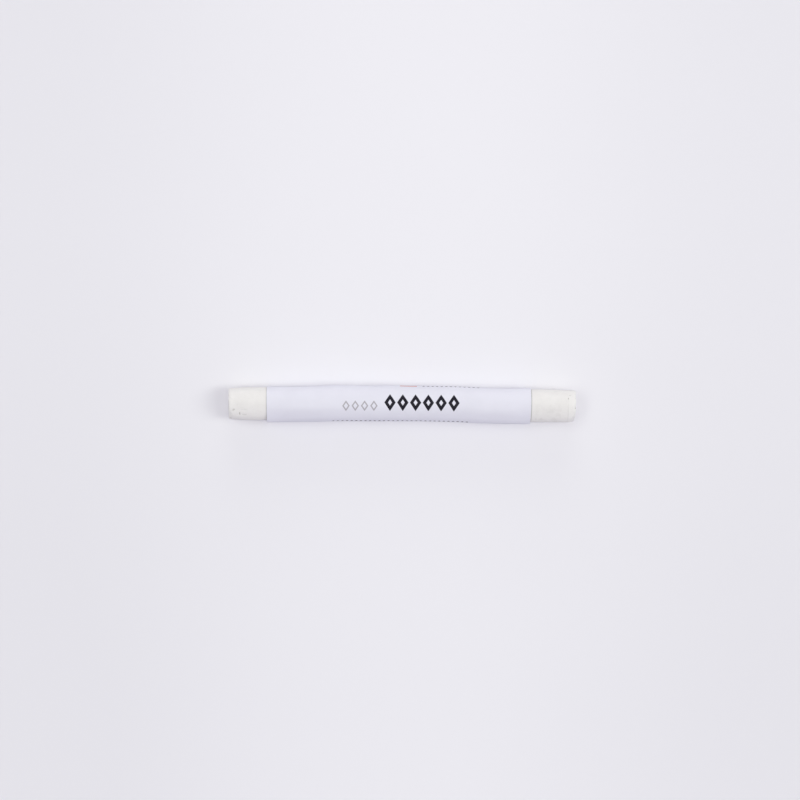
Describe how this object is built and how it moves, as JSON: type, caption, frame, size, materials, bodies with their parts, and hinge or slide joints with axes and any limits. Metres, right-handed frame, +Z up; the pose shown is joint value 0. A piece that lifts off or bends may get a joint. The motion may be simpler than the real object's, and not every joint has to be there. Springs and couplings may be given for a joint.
{
  "type": "chalk stick",
  "caption": "Round white blackboard chalk stick in a rolled paper label, bare at both ends, one tip square and one worn, lying on its side.",
  "frame": {"origin": "under the middle of the stick's box, on the surface that it lies on", "axes": "+X along the stick from the square tip to the worn tip, +Z up, +Y towards the back, the side that the slight bow points to"},
  "size_m": [0.0986, 0.0104, 0.0102],
  "materials": {
    "chalk": "powdery matte off-white",
    "paper": "smooth bluish-white uncoated label paper"
  },
  "bodies": {
    "root": {"chalk_stick": "chalk", "paper_wrapper": "paper"}
  },
  "joints": []
}
